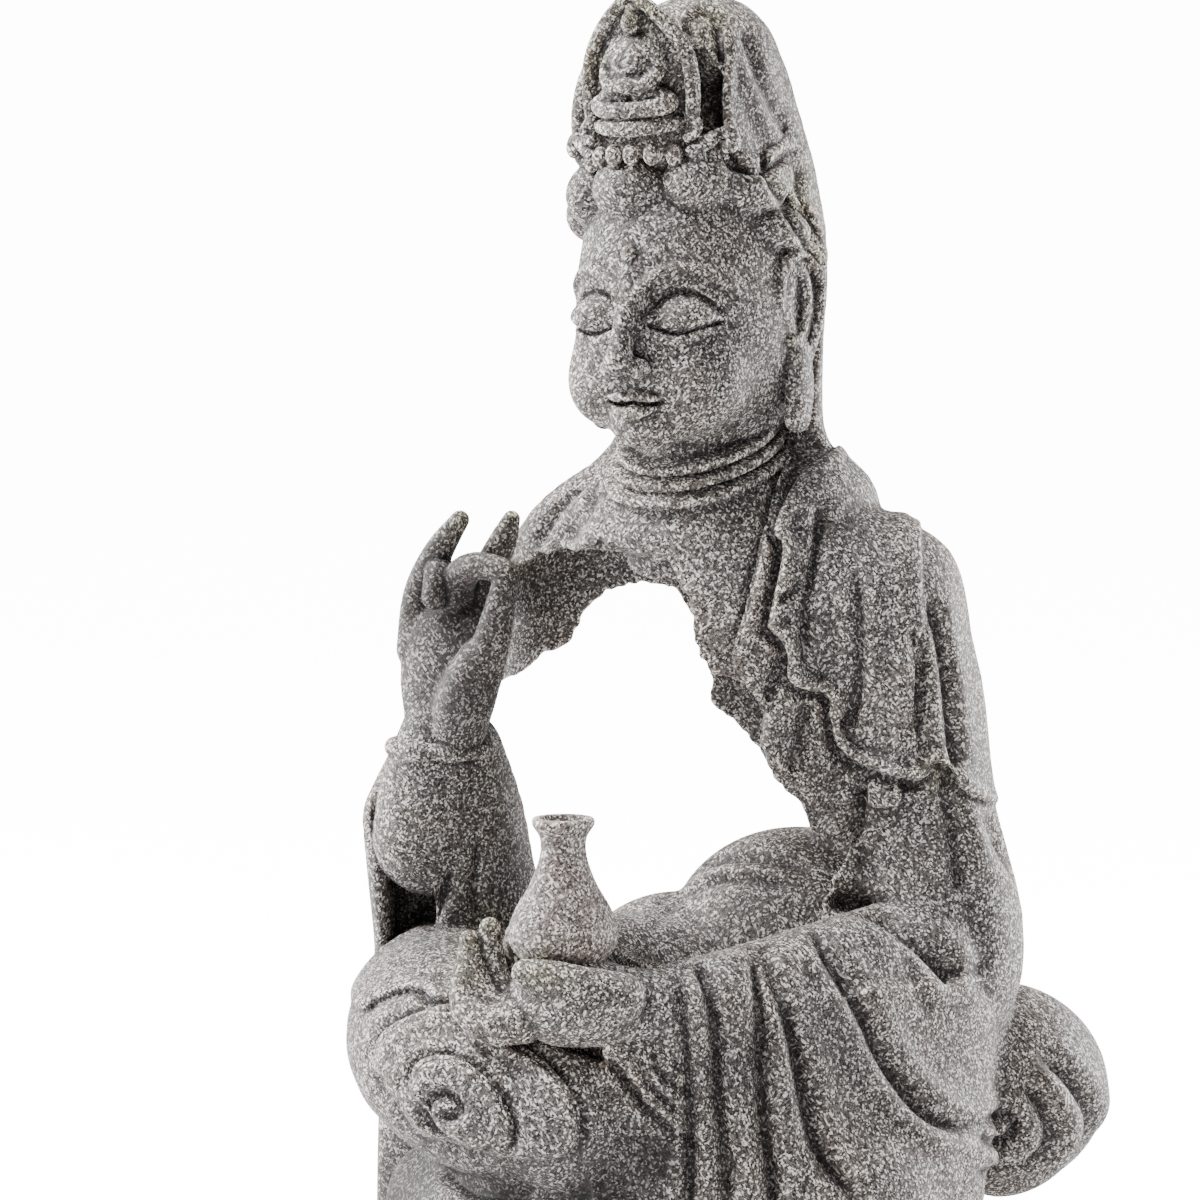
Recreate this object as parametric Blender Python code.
"""A seated Guanyin cast in sand-filled resin, her torso an open broken shell, with a small vase in her left palm.

Metres, +Z up. She faces -Y, so her left hand is at +X. The origin is on the floor, under her neck.
The figure is shaped as a sculptor would: masses of clay are pressed together, the torso is hollowed and
broken open, folds are laid on, and the whole is fused, softened and cut flat below.
"""

import math

import bmesh
import bpy
import numpy as np
from mathutils import Matrix, Vector, noise
from mathutils.bvhtree import BVHTree

# Driving sizes, in metres.
FIGURE_HEIGHT = 0.380
SHELL_WALL = 0.0050
CLEARANCE = 0.0003

VASE_HEIGHT = 0.039
VASE_FOOT_RADIUS = 0.0120
VASE_BELLY_RADIUS = 0.0152
VASE_NECK_RADIUS = 0.0062
VASE_LIP_RADIUS = 0.0086
VASE_LIP_HEIGHT = 0.0024
VASE_WALL = 0.0025
VASE_FLOOR = 0.0035

# The pose and the proportions are shares of the figure's height: one unit is 1/380 of it.
UNIT = FIGURE_HEIGHT / 380
WALL = SHELL_WALL / UNIT

# Where the vase stands, on the palm.
VASE_FOOT = Vector((7.5, -92, 112.5)) * UNIT

# Fineness of the fused clay, and how many triangles the finished cast keeps.
CLAY_GRAIN = 2.2 * UNIT
SHELL_GRAIN = 1.7 * UNIT
FINE_GRAIN = 1.3 * UNIT
FIGURE_TRIANGLES = 9000

# The side from which the torso was broken open, level and a little to her left.
BREAK_TURN = math.radians(33)
BREAK_OUT = Vector((math.sin(BREAK_TURN), -math.cos(BREAK_TURN), 0))
BREAK_ACROSS = Vector((math.cos(BREAK_TURN), math.sin(BREAK_TURN), 0))


def clear_scene():
    for old in list(bpy.data.objects):
        bpy.data.objects.remove(old)


def material(name, colour, roughness):
    made = bpy.data.materials.new(name)
    made.use_nodes = True
    shader = made.node_tree.nodes["Principled BSDF"]
    shader.inputs["Base Color"].default_value = (*colour, 1)
    shader.inputs["Roughness"].default_value = roughness
    shader.inputs["Metallic"].default_value = 0
    return made


def object_from(name, clay):
    mesh = bpy.data.meshes.new(name)
    bmesh.ops.recalc_face_normals(clay, faces=clay.faces)
    clay.to_mesh(mesh)
    clay.free()
    made = bpy.data.objects.new(name, mesh)
    bpy.context.scene.collection.objects.link(made)
    return made


def baked(made):
    """The object's mesh after its modifiers, as new clay. The object itself is removed."""
    bpy.context.view_layer.update()
    graph = bpy.context.evaluated_depsgraph_get()
    mesh = bpy.data.meshes.new_from_object(made.evaluated_get(graph))
    clay = bmesh.new()
    clay.from_mesh(mesh)
    bpy.data.meshes.remove(mesh)
    bpy.data.objects.remove(made)
    return clay


def fused(name, clay, grain, soften):
    """Overlapping masses become one skin, and the creases between them are softened."""
    made = object_from(name, clay)
    remesh = made.modifiers.new("fuse", "REMESH")
    remesh.mode = "VOXEL"
    remesh.voxel_size = grain
    if soften:
        smooth = made.modifiers.new("soften", "SMOOTH")
        smooth.factor = 0.5
        smooth.iterations = soften
    return baked(made)


def cut(clay, cutter, operation="DIFFERENCE"):
    """Cuts one closed body of clay with another."""
    made = object_from("clay", clay)
    tool = object_from("cutter", cutter)
    boolean = made.modifiers.new("cut", "BOOLEAN")
    boolean.operation = operation
    boolean.solver = "EXACT"
    boolean.object = tool
    left = baked(made)
    bpy.data.objects.remove(tool)
    return left


def add(clay, other):
    """Presses the bodies of another lump of clay into this one."""
    mesh = bpy.data.meshes.new("lump")
    other.to_mesh(mesh)
    clay.from_mesh(mesh)
    bpy.data.meshes.remove(mesh)
    other.free()


def ball(clay, centre, radii, turn=(0, 0, 0), segments=24):
    """An ellipsoid. Centre and radii are in units, and turn is in degrees about X, Y and Z."""
    place = Matrix.Translation(Vector(centre) * UNIT)
    for angle, axis in zip(turn, "XYZ"):
        place = place @ Matrix.Rotation(math.radians(angle), 4, axis)
    place = place @ Matrix.Diagonal((*(Vector(radii) * UNIT), 1))
    lump = bmesh.new()
    bmesh.ops.create_uvsphere(lump, u_segments=segments, v_segments=segments // 2, radius=1, matrix=place)
    add(clay, lump)


def smooth_path(stations, steps):
    """A Catmull-Rom path through the stations, which may hold radii after x, y and z."""
    held = np.array([stations[0], *stations, stations[-1]], float)
    path = []
    for a, b, c, d in zip(held, held[1:], held[2:], held[3:]):
        for t in np.arange(steps) / steps:
            path.append(
                0.5 * (2 * b + (c - a) * t + (2 * a - 5 * b + 4 * c - d) * t**2 + (3 * b - a - 3 * c + d) * t**3)
            )
    path.append(held[-1])
    return path


def limb(clay, stations, wide=(1, 0, 0), sides=18, steps=4, caps=(1, 1)):
    """A tapering limb with domed ends. Each station is x, y, z and one radius, or the radius along
    wide and the radius square to it, all in units. The domes are as tall as the radius times caps."""
    path = smooth_path([s if len(s) == 5 else (*s, s[3]) for s in stations], steps)
    centres = [Vector(p[:3]) for p in path]
    rings = []
    for i, (centre, p) in enumerate(zip(centres, path)):
        along = (centres[min(i + 1, len(path) - 1)] - centres[max(i - 1, 0)]).normalized()
        first = (Vector(wide) - along * along.dot(Vector(wide))).normalized()
        rings.append((centre, first * p[3], along.cross(first) * p[4], along))
    start, end = rings[0], rings[-1]
    reach = [0.5 * (ring[1].length + ring[2].length) * cap for ring, cap in zip((start, end), caps)]
    whole = [ring[:3] for ring in rings]
    for degrees in (30, 60):
        high, low = math.sin(math.radians(degrees)), math.cos(math.radians(degrees))
        whole.insert(0, (start[0] - start[3] * reach[0] * high, start[1] * low, start[2] * low))
        whole.append((end[0] + end[3] * reach[1] * high, end[1] * low, end[2] * low))
    loops = []
    for centre, first, second in whole:
        turns = [2 * math.pi * k / sides for k in range(sides)]
        loops.append([clay.verts.new((centre + first * math.cos(t) + second * math.sin(t)) * UNIT) for t in turns])
    for near, far in zip(loops, loops[1:]):
        for k in range(sides):
            clay.faces.new((near[k], near[(k + 1) % sides], far[(k + 1) % sides], far[k]))
    for loop, tip in ((loops[0][::-1], start[0] - start[3] * reach[0]), (loops[-1], end[0] + end[3] * reach[1])):
        pole = clay.verts.new(tip * UNIT)
        for k in range(sides):
            clay.faces.new((loop[k], loop[(k + 1) % sides], pole))


def mirrored(shape, clay, *stations, **how):
    """The same shape on her left and on her right."""
    for side in (1, -1):
        shape(clay, *[[(side * s[0], *s[1:]) for s in group] for group in stations], **how)


def loft(clay, loops):
    """A closed body through loops of as many points each, with flat ends."""
    made = [[clay.verts.new(Vector(p) * UNIT) for p in loop] for loop in loops]
    for near, far in zip(made, made[1:]):
        for k in range(len(near)):
            clay.faces.new((near[k], near[(k + 1) % len(near)], far[(k + 1) % len(near)], far[k]))
    clay.faces.new(made[0][::-1])
    clay.faces.new(made[-1])


def facing(clay):
    """What is carved: the skin's first point when it is looked at from one side, given across and up."""
    tree = BVHTree.FromBMesh(clay)

    def look(points, turn):
        turn = math.radians(turn)
        out = Vector((math.sin(turn), -math.cos(turn), 0))
        across = Vector((math.cos(turn), math.sin(turn), 0))
        found = []
        for u, z in smooth_path(points, 8):
            hit = tree.ray_cast((across * u + out * 300 + Vector((0, 0, z))) * UNIT, -out)[0]
            if hit:
                found.append(hit / UNIT)
        return found

    return look


def carve(clay, points, width, depth):
    """Cuts a groove along the points of the skin, or raises a ridge if its depth is negative."""
    line = np.array(smooth_path([tuple(p) for p in points], 3)) * UNIT
    ends = np.linspace(0, 1, len(line))
    strength = np.minimum(1, 6 * np.minimum(ends, 1 - ends) + 0.15)
    reach = 2.5 * width * UNIT
    low, high = line.min(axis=0) - reach, line.max(axis=0) + reach
    near = [v for v in clay.verts if low[0] < v.co.x < high[0] and low[1] < v.co.y < high[1] and low[2] < v.co.z < high[2]]
    for v in near:
        away = np.linalg.norm(line - np.array(v.co), axis=1)
        closest = away.argmin()
        v.co -= v.normal * depth * UNIT * strength[closest] * math.exp(-((away[closest] / (width * UNIT)) ** 2))


def arc(centre, radii, start, end):
    """Points of an arc as seen from one side, in degrees from level."""
    angles = [math.radians(start + (end - start) * k / 8) for k in range(9)]
    return [(centre[0] + radii[0] * math.cos(a), centre[1] + radii[1] * math.sin(a)) for a in angles]


def scroll(centre, turns, reach, start):
    """Points of a spiral as seen from one side, as robes gather over a knee."""
    count = int(turns * 12)
    points = []
    for k in range(count + 1):
        angle = math.radians(start) + 2 * math.pi * turns * k / count
        away = reach * (0.08 + 0.92 * (k / count) ** 1.15)
        points.append((centre[0] + away * math.cos(angle), centre[1] + away * math.sin(angle)))
    return points


def seat(clay):
    """The crossed legs and hips under the robe, and the hem that she sits on."""
    rim = 120
    hem = []
    for height, spread, ruffle in ((-6, 1.02, 0.030), (4, 1.0, 0.026), (14, 0.95, 0.020), (26, 0.91, 0.016), (40, 0.84, 0.010)):
        turns = [2 * math.pi * k / rim for k in range(rim)]
        wave = [spread * (1 + ruffle * math.sin(14 * t + 1.5 * math.sin(3 * t))) for t in turns]
        hem.append([(2 + 88 * w * math.cos(t), -10 + 76 * w * math.sin(t), height) for t, w in zip(turns, wave)])
    loft(clay, hem)
    ball(clay, (0, 22, 48), (74, 56, 44))
    # Her left leg lies under, her right leg over it.
    limb(clay, [(38, 28, 64, 38), (66, -14, 58, 30), (70, -42, 46, 26)])
    limb(clay, [(70, -46, 42, 26), (40, -70, 34, 25), (-10, -76, 32, 24), (-52, -60, 30, 20)])
    limb(clay, [(-36, 28, 66, 38), (-60, -10, 73, 34), (-67, -34, 77, 32)])
    knee = [(-67, -36, 78, 33, 30), (-48, -61, 77, 33, 30), (-22, -75, 74, 31, 29), (8, -84, 68, 23, 23)]
    limb(clay, knee, wide=(-0.7, -0.7, 0))
    # Gathered robe at the hips.
    ball(clay, (4, 52, 88), (50, 30, 43), turn=(0, 8, 0))
    ball(clay, (-40, 46, 72), (38, 32, 36))
    ball(clay, (76, 34, 62), (33, 34, 31))
    ball(clay, (52, 18, 88), (30, 34, 28))


def torso_masses(clay, inset=0.0):
    """Chest, shoulders and the robe over her upper right arm; with an inset, the hollow inside them."""
    sections = [
        (12, 14, 96, 50, 36),
        (9, 12, 130, 49, 35),
        (4, 7, 160, 50, 37),
        (0, 3, 185, 53, 38),
        (0, 0, 203, 50, 36),
        (0, -3, 218, 40, 31),
        (0, -6, 229, 27, 24),
    ]
    top = 5 if inset else 7
    limb(clay, [(x, y, z - inset, a - inset, b - inset) for x, y, z, a, b in sections[:top]], sides=32)
    shoulders = [(-54, 5, 206, 19), (-30, 3, 213, 20), (0, 0, 214, 24), (30, 3, 213, 20), (54, 5, 206, 19)]
    limb(clay, [(x, y, z, r - inset) for x, y, z, r in shoulders], wide=(0, 1, 0))
    slope = [(-24, -2, 240, 11), (-38, 1, 231, 14), (-52, 4, 219, 17), (-61, 6, 205, 18)]
    limb(clay, [(x, y, z, r - inset) for x, y, z, r in slope[1 if inset else 0 :]], wide=(0, 1, 0))
    arm = [(-54, 5, 204, 19), (-61, 8, 184, 21), (-65, 10, 160, 22), (-66, 11, 130, 23)]
    limb(clay, [(x, y, z, r - inset) for x, y, z, r in arm], wide=(0, 1, 0))


def break_outline(points, depth, slope):
    """The edge of the break at one depth along its direction, with the ragged bite of broken resin."""
    ragged = []
    for (u, z), (u_next, z_next) in zip(points, points[1:] + points[:1]):
        steps = 6
        for k in range(steps):
            share = k / steps
            bite = 2.2 * noise.noise(Vector((u + (u_next - u) * share, z + (z_next - z) * share, depth)) * 0.11)
            place = BREAK_ACROSS * (u + (u_next - u) * share + bite) + BREAK_OUT * depth
            ragged.append(place + Vector((0, 0, z + (z_next - z) * share + bite + slope)))
    return ragged


def torso_shell():
    """The torso as a shell, open in front from her chest to her right side, and through her back."""
    body = bmesh.new()
    torso_masses(body)
    body = fused("torso", body, SHELL_GRAIN, 8)
    hollow = bmesh.new()
    torso_masses(hollow, inset=WALL)
    hollow = fused("hollow", hollow, SHELL_GRAIN, 8)
    body = cut(body, hollow)
    front = [(44, 88), (29, 122), (18, 152), (0, 180), (-8, 206), (-22, 219), (-34, 222), (-56, 216), (-150, 208), (-150, 88)]
    back = [(38, 88), (26, 122), (12, 152), (-4, 180), (-9, 201), (-24, 208), (-36, 200), (-56, 182), (-150, 172), (-150, 88)]
    opening = bmesh.new()
    loft(opening, [break_outline(back, -120, 0), break_outline(back, -42, 0), break_outline(front, 34, 0), break_outline(front, 120, 0)])
    return cut(body, opening)


def neck_and_head(clay):
    limb(clay, [(0, -4, 222, 23), (0, -8, 240, 20), (0, -6, 262, 20)], caps=(0.1, 1))
    # Three creases round the neck, lower in front.
    for height, size in ((244.8, 28.0), (249.2, 26.3), (253.2, 24.7)):
        ring = [(0, -9, height, size, size), (0, -9.8, height + 1.8, size, size)]
        limb(clay, ring, steps=1, caps=(0.1, 0.1))
    # One full egg from skull to chin.
    egg = [
        (0, -8, 330, 22, 24),
        (0, -10, 318, 30, 32),
        (0, -11, 302, 33, 36),
        (0, -12, 286, 33.5, 36),
        (0, -13, 274, 32, 34),
        (0, -15, 264, 28, 31),
        (0, -18, 257, 21, 26),
    ]
    limb(clay, egg, sides=32, caps=(1, 0.35))
    ball(clay, (0, -37, 257.5), (10, 7.5, 7))
    # Brows, nose, lids and lips to plain proportions: eyes half way down the head, the nose half of the rest.
    mirrored(limb, clay, [(3.5, -47.5, 294, 1.9), (12, -46, 298, 1.8), (24, -37, 294, 1.4)])
    limb(clay, [(0, -46.5, 297, 2.6), (0, -49, 285, 2.8), (0, -50.5, 273.5, 3.3)])
    for side in (-1, 1):
        ball(clay, (side * 3.8, -47.6, 273), (2.6, 3.0, 2.4), segments=12)
    mirrored(limb, clay, [(8, -44, 287, 3.2), (14, -42.6, 287.5, 4.2), (21, -37.5, 288, 2.8)])
    limb(clay, [(-7.5, -43.6, 264.2, 1.0), (0, -46.0, 265.0, 1.7), (7.5, -43.6, 264.2, 1.0)])
    limb(clay, [(-5.5, -43.8, 261.6, 1.2), (0, -45.6, 260.8, 1.8), (5.5, -43.8, 261.6, 1.2)])
    ball(clay, (0, -47.4, 303), (2.0, 2.0, 2.0), segments=12)
    # Long ears.
    ear = [(32, -10, 300, 4, 5), (35, -7, 303, 4, 8), (35, -6, 290, 4, 9), (33, -6, 277, 3.5, 6), (33, -6, 263, 4, 5.5)]
    mirrored(limb, clay, ear)


def hair(clay):
    """Swept locks over the brow."""
    ball(clay, (0, -33, 322), (13, 15, 11.5))
    for centre, radii, turn in (
        ((18, -29, 323), (10.5, 13, 11), (0, -20, 0)),
        ((28, -17, 319), (9, 14, 10.5), (0, -35, 0)),
        ((32, -6, 310), (7, 11, 7), (0, -30, 0)),
    ):
        ball(clay, centre, radii, turn)
        ball(clay, (-centre[0], *centre[1:]), radii, (0, -turn[1], 0))


def hood(clay):
    """The veil over her topknot, open in front, and down behind the ears to the shoulders."""
    masses = bmesh.new()
    sections = [
        (0, 2, 222, 48, 32),
        (0, 0, 240, 37, 32),
        (0, -1, 256, 32, 32),
        (0, -1, 282, 31, 33),
        (0, -2, 304, 34, 35),
        (0, -3, 322, 32, 33),
        (0, -7, 340, 30, 31),
        (0, -10, 352, 28, 28),
        (0, -12, 361.5, 19, 19.5),
    ]
    limb(masses, sections, sides=32, caps=(0.1, 1))
    masses = fused("hood", masses, SHELL_GRAIN, 4)
    # Its front edge rises from the shoulder, passes behind the ear and comes forward over the hair.
    edge = [(-40, 200), (-14, 236), (0, 250), (5, 285), (3, 300), (-4, 312), (-18, 322), (-30, 335), (-33, 390)]
    ahead = bmesh.new()
    loft(ahead, [[(x, y, z) for y, z in [(-120, 200), *edge, (-120, 390)]] for x in (-70, 70)])
    masses = cut(masses, ahead)
    recess = bmesh.new()
    limb(recess, [(0, -38, 316, 24, 24), (0, -40, 345, 24, 25), (0, -38, 352, 20, 20)], sides=24)
    add(clay, cut(masses, recess))
    ball(clay, (0, -8, 338), (23, 20, 28))
    # The hem of the veil, turned back beside the topknot and down to the ears.
    mirrored(
        limb,
        clay,
        [(12, -31, 366, 4), (22, -32, 352, 5.5), (26, -31, 334, 6), (30, -22, 320, 4), (33, -10, 306, 3)],
        wide=(0.5, -0.8, 0),
    )


def crown(clay):
    """A little seated figure in a leaf-shaped halo, on a row of petals."""
    limb(clay, [(0, -39, 338, 16, 3), (0, -41, 352, 15, 3), (0, -43, 366, 9, 3), (0, -45, 376.5, 2.5, 2.5)], sides=20)
    mirrored(limb, clay, [(15, -40, 335, 2.4), (16.5, -41, 346, 2.4), (14, -43, 358, 2.4), (7, -45, 369, 2.4), (1, -46, 377, 2.2)])
    ball(clay, (0, -44, 351), (7, 5, 8))
    ball(clay, (0, -47, 361), (4.4, 4.4, 5.0), segments=16)
    ball(clay, (0, -47, 366), (2.2, 2.2, 2.2), segments=12)
    ball(clay, (0, -45, 343.5), (11.5, 6, 3.6), segments=16)
    ball(clay, (0, -44, 338.5), (13.5, 7, 3.0), segments=16)
    for k in range(-4, 5):
        turn = math.radians(k * 15)
        ball(clay, (32 * math.sin(turn), -8 - 39 * math.cos(turn), 333 - 0.10 * k * k), (2.9, 2.6, 3.4), segments=12)
    mirrored(limb, clay, [(17, -43, 335, 2.2), (23, -41, 336, 2.2), (27, -38, 339.5, 2.4), (29.5, -36, 337, 2.0)])


def left_arm(clay):
    """Upper arm under the cape, bent elbow, forearm, and the sleeve that falls over her left knee."""
    limb(clay, [(54, 5, 205, 18), (60, 8, 180, 20), (64, 10, 150, 20), (71, 12, 114, 22), (71, 8, 99, 22)])
    limb(clay, [(71, 10, 102, 22), (60, -30, 100, 20), (46, -60, 99, 16), (37, -75, 99, 13)], wide=(0, 0, 1))
    limb(clay, [(42, -68, 100, 11), (32, -80, 100, 10.5), (20, -89, 101, 9.5)], wide=(0, 0, 1))
    # The cape over her left shoulder, which ends in a hem above the elbow.
    cape = bmesh.new()
    limb(cape, [(36, 3, 209, 21), (54, 5, 204, 20.5), (60, 8, 180, 23), (64, 10, 150, 24), (68, 12, 122, 26)], wide=(0, 1, 0))
    cape = fused("cape", cape, SHELL_GRAIN, 2)
    below = bmesh.new()
    hem = [(-10, 172), (20, 160), (45, 156), (62, 146), (84, 130), (150, 112)]
    outline = [(u, z) for u, z in hem] + [(150, 60), (-10, 60)]
    loft(below, [[BREAK_ACROSS * u + BREAK_OUT * d + Vector((0, 0, z)) for u, z in outline] for d in (-90, 140)])
    add(clay, cut(cape, below))


def left_sleeve(clay):
    """The sleeve, which falls from the forearm to the hem in deep folds."""
    top = smooth_path([(86, 16), (90, -4), (78, -39), (60, -66), (41, -82)], 20)
    foot = smooth_path([(84, -4), (96, -28), (92, -58), (73, -84), (42, -97)], 20)
    ridges = (0.04, 0.12, 0.20, 0.30, 0.41, 0.55, 0.75)
    loops = []
    for level in range(17):
        share = level / 16
        line = [a * (1 - share) + b * share for a, b in zip(top, foot)]
        outer, inner = [], []
        for i, place in enumerate(line):
            along = line[min(i + 1, len(line) - 1)] - line[max(i - 1, 0)]
            out = np.array([-along[1], along[0]]) / np.hypot(*along)
            where = 1 - i / (len(line) - 1)
            crest = max(math.exp(-(((where - r * (0.75 + 0.45 * share)) / 0.03) ** 2)) for r in ridges)
            outer.append((*(place + out * (1 + 4.5 * crest * (0.7 + 0.3 * share))), 101 - 105 * share))
            inner.append((*(place - out * 24), 101 - 105 * share))
        loops.append(outer + inner[::-1])
    loft(clay, loops)


def left_hand(clay):
    """The open palm that carries the vase, with its fingers curling up at her right."""
    ball(clay, (11, -94, 102.5), (21, 15, 11), turn=(0, 0, -24))
    limb(clay, [(30, -99, 105, 7), (18, -106, 108, 5.6), (5, -108, 110.5, 4)], wide=(0, 0, 1))
    for root, bend, tip in (
        ((-2, -104, 99), (-12, -106, 98), (-19, -102, 109)),
        ((-4, -99, 100), (-15, -101, 101), (-19, -98, 117)),
        ((-3, -93, 101), (-13, -95, 103), (-14.5, -95, 121)),
        ((-1, -87, 102), (-11, -86, 104), (-12, -87, 118)),
    ):
        limb(clay, [(*root, 5.8), (*bend, 5.2), (*tip, 3.4)], sides=12)


def right_arm(clay):
    """The raised forearm in its fallen sleeve, with a bracelet."""
    sleeve = bmesh.new()
    limb(sleeve, [(-66, -40, 158, 15), (-70, -34, 138, 21), (-70, -30, 112, 24), (-66, -22, 84, 28)])
    sleeve = fused("sleeve", sleeve, SHELL_GRAIN, 2)
    mouth = bmesh.new()
    limb(mouth, [(-76, -50, 150, 11), (-81, -50, 128, 17), (-82, -52, 106, 17), (-86, -54, 96, 13)])
    add(clay, cut(sleeve, mouth))
    limb(clay, [(-73, -42, 134, 17.5), (-71, -44, 146, 16), (-68, -45, 158, 14), (-66, -45, 172, 13)])
    limb(clay, [(-67.5, -45, 158.5, 16, 15), (-67, -45, 163.5, 16, 15)], steps=1)
    # The end of the sleeve, hanging behind the knee.
    limb(clay, [(-90, -20, 84, 12, 8), (-92, -24, 50, 13, 7), (-91, -26, 12, 14, 7)])


def right_hand(clay):
    """The raised hand: forefinger and thumb meet, the other fingers stand."""
    limb(clay, [(-65, -45, 170, 14, 10), (-63, -46, 182, 17, 9), (-62, -46, 194, 16, 8)])
    limb(clay, [(-76, -45, 192, 5.8), (-72, -47, 206, 5.4), (-64, -48, 220, 4.6), (-57, -48, 229, 2.8)], sides=12)
    limb(clay, [(-68, -44, 194, 5.6), (-66, -45, 208, 5.0), (-61, -46, 219, 4.2)], sides=12)
    limb(clay, [(-60, -42, 196, 5.6), (-54, -39, 212, 5.0), (-49, -38, 222, 4.2), (-46.5, -38, 229, 2.6)], sides=12)
    limb(clay, [(-61, -48, 200, 5.4), (-56, -52, 211, 5.0), (-47, -54, 215, 4.4), (-37, -54, 215, 3.6)], sides=12)
    limb(clay, [(-54, -48, 172, 10), (-46, -51, 184, 7.4), (-40.5, -53, 197, 5.6), (-37, -54, 211, 4.0)], sides=12)


def drapery(clay):
    """The carved drapery that shows from a step away, each piece of it seen from the side it is on."""
    look = facing(clay)
    # Scrolls over her right knee and on her left hip, with wide arcs around them.
    carve(clay, look(scroll((-79, 63), 1.6, 19, 20), 33), 2.6, 2.6)
    carve(clay, look(arc((-76, 64), (30, 26), -140, 30), 33), 2.8, 2.8)
    carve(clay, look(arc((-68, 66), (44, 34), -110, 25), 33), 2.8, 2.8)
    carve(clay, look([(-104, 82), (-98, 92), (-88, 99)], 33), 2.6, 2.4)
    carve(clay, look([(-100, 72), (-94, 84), (-82, 89)], 33), 2.6, 2.4)
    carve(clay, look(scroll((83, 52), 1.4, 15, 120), 33), 2.4, 2.4)
    for reach in (21, 29):
        carve(clay, look(arc((83, 54), (reach, reach), -60, 80), 33), 2.6, 2.4)
    # Folds of the cape and the robe on her left arm.
    for top, foot in (((44, 216), (52, 150)), ((54, 206), (66, 140)), ((63, 190), (76, 132))):
        middle = ((top[0] + foot[0]) / 2 + 3, (top[1] + foot[1]) / 2)
        carve(clay, look([top, middle, foot], 33), 2.6, 2.2)
    for turn in (75, 110, 145):
        carve(clay, look([(8, 214), (12, 185), (10, 140)], turn), 2.8, 2.4)
        carve(clay, look([(-8, 216), (-10, 185), (-12, 150)], turn), 2.8, 2.4)
    # Long folds of the sleeve below her forearm.
    carve(clay, look([(34, 108), (44, 92), (54, 66), (66, 44)], 33), 3.0, 2.6)
    carve(clay, look([(48, 112), (64, 100), (70, 80), (72, 60)], 33), 3.0, 2.2)
    # The veil down her back, and the robe behind her.
    for u in (-22, -11, 0, 11, 22):
        carve(clay, look([(u * 0.6, 345), (u * 0.9, 300), (u, 260), (u * 1.4, 224)], 180), 2.6, 2.2)
    for reach in (16, 26, 36, 46):
        carve(clay, look(arc((-4, 66), (reach, reach * 0.9), -10, 190), 180), 2.8, 2.6)
        carve(clay, look(arc((40, 60), (reach * 0.8, reach * 0.8), 20, 160), 250), 2.8, 2.4)


def vase_profile(grow=0.0):
    """The outer profile from the foot up, as radius and height above the foot."""
    shape = [
        (VASE_FOOT_RADIUS, 0),
        (VASE_BELLY_RADIUS * 0.94, 0.09),
        (VASE_BELLY_RADIUS, 0.20),
        (VASE_BELLY_RADIUS * 0.86, 0.36),
        (VASE_BELLY_RADIUS * 0.62, 0.52),
        (VASE_NECK_RADIUS * 1.12, 0.68),
        (VASE_NECK_RADIUS, 0.79),
        (VASE_NECK_RADIUS * 1.08, 0.87),
    ]
    lip = VASE_HEIGHT - VASE_LIP_HEIGHT
    outer = [(r + grow, VASE_HEIGHT * share - (grow if share == 0 else 0)) for r, share in shape]
    return outer + [(VASE_LIP_RADIUS + grow, lip), (VASE_LIP_RADIUS + grow, VASE_HEIGHT)]


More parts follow.
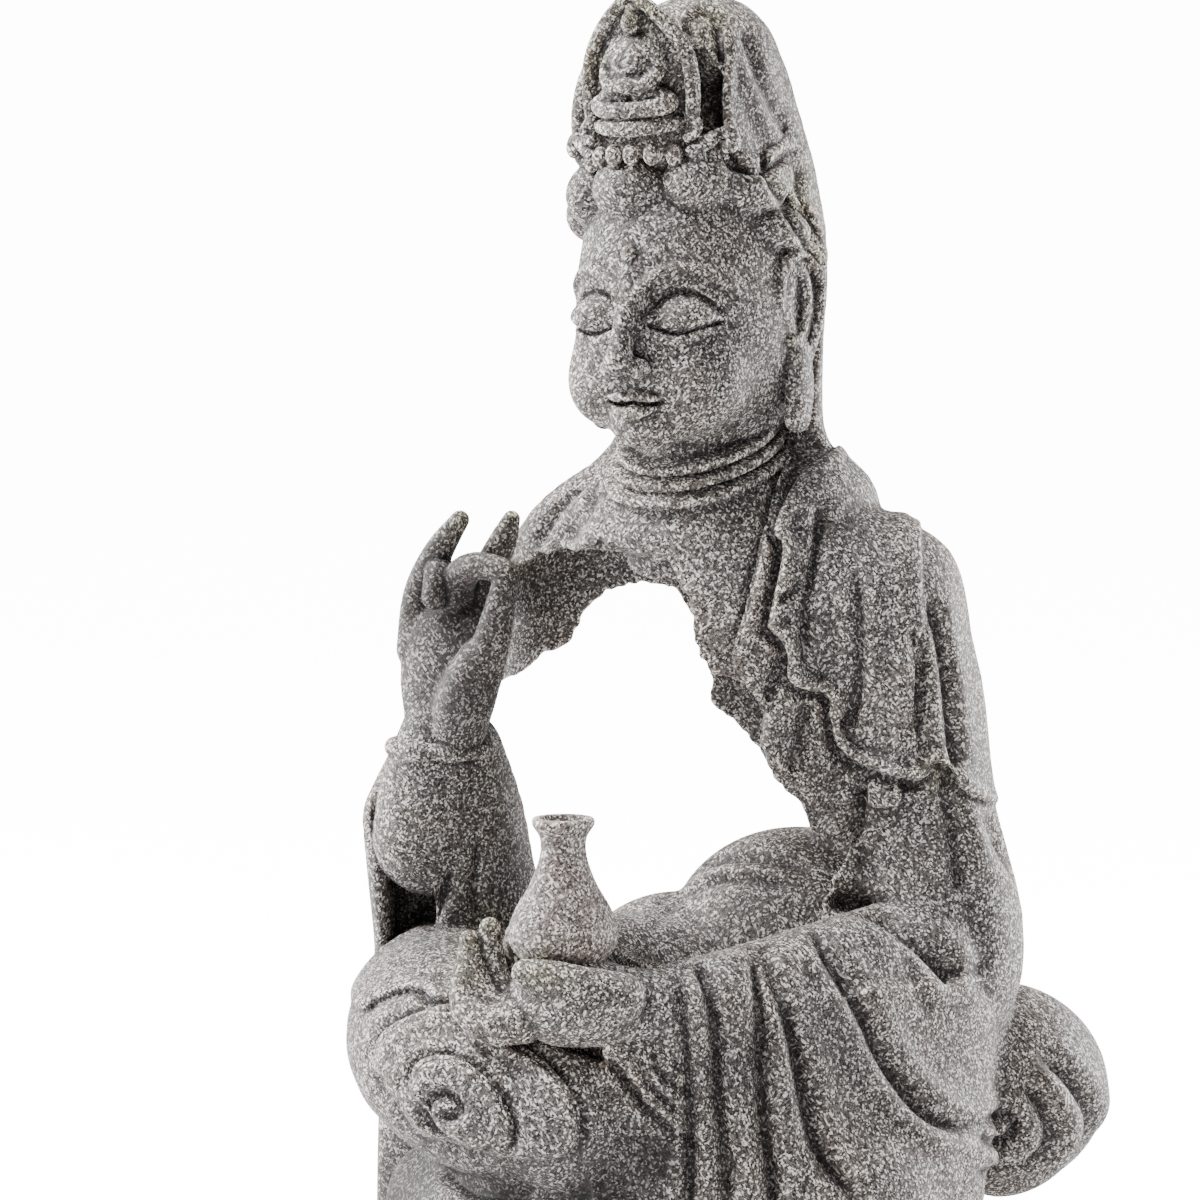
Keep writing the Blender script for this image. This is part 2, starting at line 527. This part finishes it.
def turned(profile, sides):
    """A body of revolution about the vase's axis, closed at both ends."""
    clay = bmesh.new()
    points = [clay.verts.new((r, 0, z)) for r, z in profile]
    edges = [clay.edges.new(pair) for pair in zip(points, points[1:])]
    bmesh.ops.spin(clay, geom=points + edges, axis=(0, 0, 1), cent=(0, 0, 0), steps=sides, angle=2 * math.pi)
    bmesh.ops.remove_doubles(clay, verts=clay.verts, dist=1e-6)
    bmesh.ops.holes_fill(clay, edges=clay.edges)
    bmesh.ops.translate(clay, verts=clay.verts, vec=VASE_FOOT)
    return clay


def vase(finish):
    """A hollow bottle with a wall of even thickness, open at its mouth."""
    outer = vase_profile()
    inner = [(max(r - VASE_WALL, VASE_WALL), z) for r, z in outer[1:-2]]
    inner = [(inner[0][0], VASE_FLOOR)] + inner[1:] + [(VASE_LIP_RADIUS - VASE_WALL, VASE_HEIGHT)]
    made = object_from("vase", turned(outer + inner[::-1], 20))
    made.data.materials.append(finish)
    made.data.shade_smooth()
    made.data.set_sharp_from_angle(angle=math.radians(40))
    return made


def figure(finish):
    masses = bmesh.new()
    seat(masses)
    left_arm(masses)
    right_arm(masses)
    masses = fused("masses", masses, CLAY_GRAIN, 10)
    add(masses, torso_shell())
    neck_and_head(masses)
    hair(masses)
    hood(masses)
    crown(masses)
    left_sleeve(masses)
    left_hand(masses)
    right_hand(masses)
    whole = fused("whole", masses, FINE_GRAIN, 2)
    drapery(whole)
    cast = object_from("cast", whole)
    thin = cast.modifiers.new("thin", "DECIMATE")
    thin.ratio = FIGURE_TRIANGLES / (2 * len(cast.data.polygons))
    cast = baked(cast)
    # The palm keeps the vase's own shape, a clearance away, and the floor cuts the hem flat.
    cast = cut(cast, turned(vase_profile(CLEARANCE), 20))
    floor = bmesh.new()
    slab = 60 * UNIT
    place = Matrix.Translation((0, 0, -slab / 2)) @ Matrix.Diagonal((FIGURE_HEIGHT, FIGURE_HEIGHT, slab, 1))
    bmesh.ops.create_cube(floor, size=1, matrix=place)
    cast = cut(cast, floor)
    made = object_from("figure", cast)
    made.data.materials.append(finish)
    made.data.shade_smooth()
    made.data.set_sharp_from_angle(angle=math.radians(60))
    return made


def main():
    clear_scene()
    stone = material("grey sand resin", (0.30, 0.29, 0.28), 0.9)
    pale = material("pale sand resin", (0.42, 0.39, 0.38), 0.85)
    figure(stone)
    vase(pale)


main()
